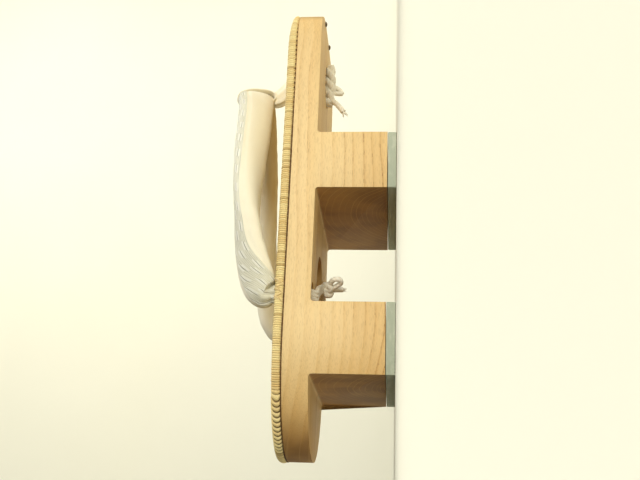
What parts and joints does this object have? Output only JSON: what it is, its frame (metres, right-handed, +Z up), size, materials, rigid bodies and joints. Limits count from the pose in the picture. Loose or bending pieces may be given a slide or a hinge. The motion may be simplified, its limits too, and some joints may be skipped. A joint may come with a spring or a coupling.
{
  "type": "geta sandal",
  "caption": "Wooden geta with two carved teeth on rubber plates, a woven mat on top and a padded thong tied under the board.",
  "frame": {"origin": "on the floor, under the middle of the sandal's length and width", "axes": "+Y to the toe, +Z up, +X to the wearer's right"},
  "size_m": [0.0968, 0.24, 0.0934],
  "materials": {
    "wood": "bare planed paulownia with a soft sheen",
    "mat": "woven bamboo sheath, bound round its edge",
    "rubber": "matt, finely ribbed",
    "thong_cover": "white and silver brocade over a soft white lining",
    "toe_thong_cloth": "soft white cotton",
    "tie_cord": "twisted cream hemp",
    "tack": "dark iron"
  },
  "bodies": {
    "root": {"wooden_block": "wood", "woven_mat": "mat", "front_rubber": "rubber", "rear_rubber": "rubber", "thong_bands": "thong_cover", "toe_thong": "toe_thong_cloth", "front_tie": "tie_cord", "rear_tie": "tie_cord", "toe_tack_1": "tack", "toe_tack_2": "tack", "toe_tack_3": "tack"}
  },
  "joints": []
}
